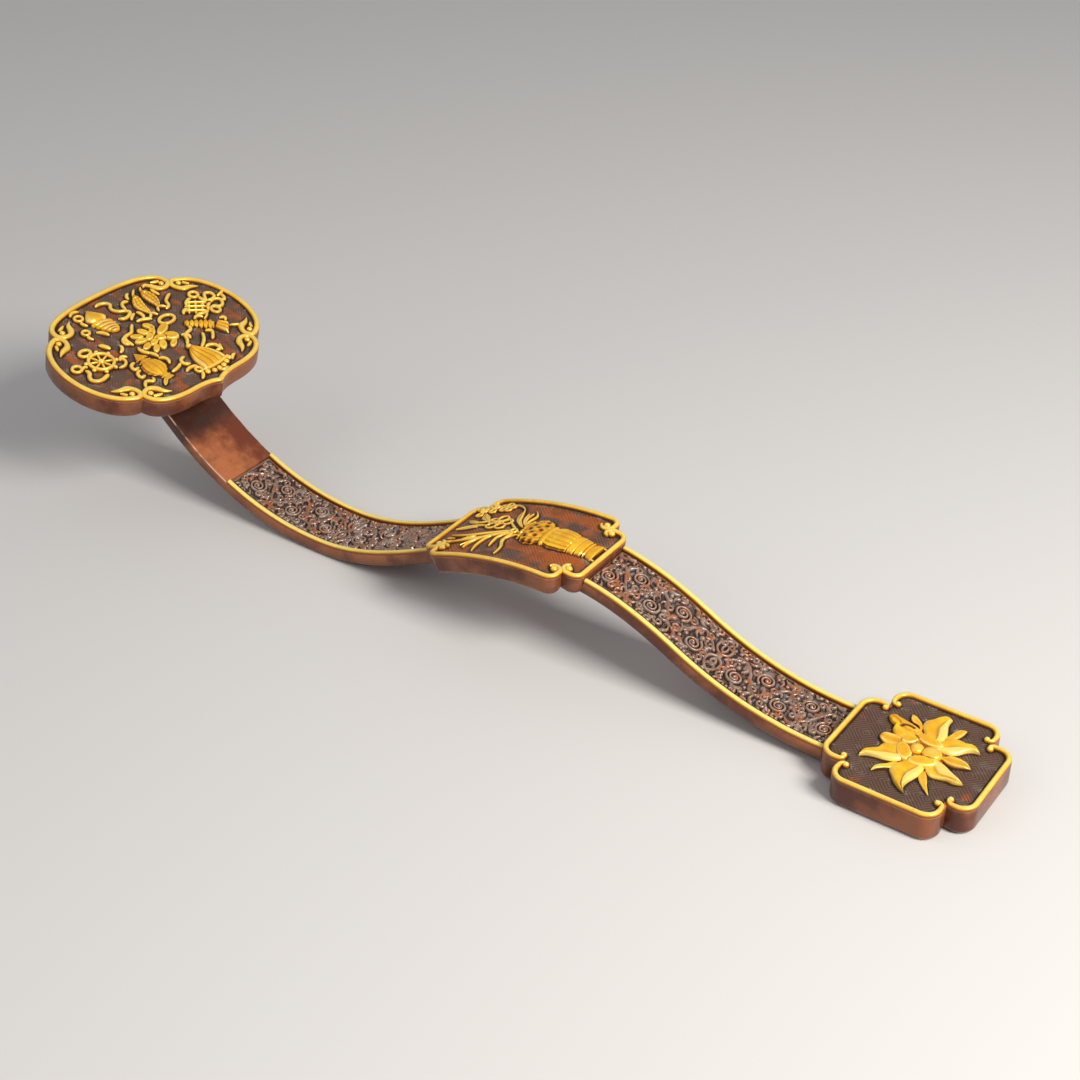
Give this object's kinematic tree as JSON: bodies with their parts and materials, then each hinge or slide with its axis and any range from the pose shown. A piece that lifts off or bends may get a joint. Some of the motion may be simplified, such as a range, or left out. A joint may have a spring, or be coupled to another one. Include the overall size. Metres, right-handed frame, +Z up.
{
  "type": "ruyi scepter",
  "caption": "Curved lacquered ruyi scepter with a cloud-shaped head, saddle board, flower tail board, carved scroll panels and gilt rims and reliefs.",
  "frame": {"origin": "on the table under the middle of the scepter's box", "axes": "+X along the scepter towards the flower board at the tail, +Y to the right seen from the tail, +Z up"},
  "size_m": [0.422, 0.097, 0.0745],
  "materials": {
    "lacquer": "semi-gloss reddish-brown lacquer over wood, mottled, darker in the notches",
    "ground_lacquer": "matt dark lacquer ground, finely hatched, with red-brown patches",
    "carved_lacquer": "lacquer carved with close spiral scrolls, dark in the recesses",
    "gilt": "bright yellow gilding over carved lacquer, dark in the cut lines",
    "bamboo": "plain split bamboo, hidden"
  },
  "bodies": {
    "root": {"shaft": "lacquer", "head_board": "lacquer", "saddle_board": "lacquer", "tail_board": "lacquer", "head_ground": "ground_lacquer", "saddle_ground": "ground_lacquer", "tail_ground": "ground_lacquer", "upper_scroll_panel": "carved_lacquer", "lower_scroll_panel": "carved_lacquer", "head_peg_1": "bamboo", "head_peg_2": "bamboo", "saddle_peg_1": "bamboo", "saddle_peg_2": "bamboo", "tail_peg": "bamboo", "upper_fillet_left": "gilt", "upper_fillet_right": "gilt", "lower_fillet_left": "gilt", "lower_fillet_right": "gilt", "head_rim_tail": "gilt", "head_rim_right": "gilt", "head_rim_head": "gilt", "head_rim_left": "gilt", "saddle_rim_tail": "gilt", "saddle_rim_right": "gilt", "saddle_rim_head": "gilt", "saddle_rim_left": "gilt", "tail_rim_tail": "gilt", "tail_rim_right": "gilt", "tail_rim_head": "gilt", "tail_rim_left": "gilt", "lotus_relief": "gilt", "wheel_relief": "gilt", "knot_relief": "gilt", "conch_relief": "gilt", "inner_fish_relief": "gilt", "outer_fish_relief": "gilt", "banner_relief": "gilt", "umbrella_relief": "gilt", "urn_relief": "gilt", "vase_relief": "gilt", "flower_bowl_relief": "gilt", "blossom_spray": "gilt", "orchid_leaves": "gilt", "tail_flower": "gilt", "tail_flower_heart": "gilt"}
  },
  "joints": []
}
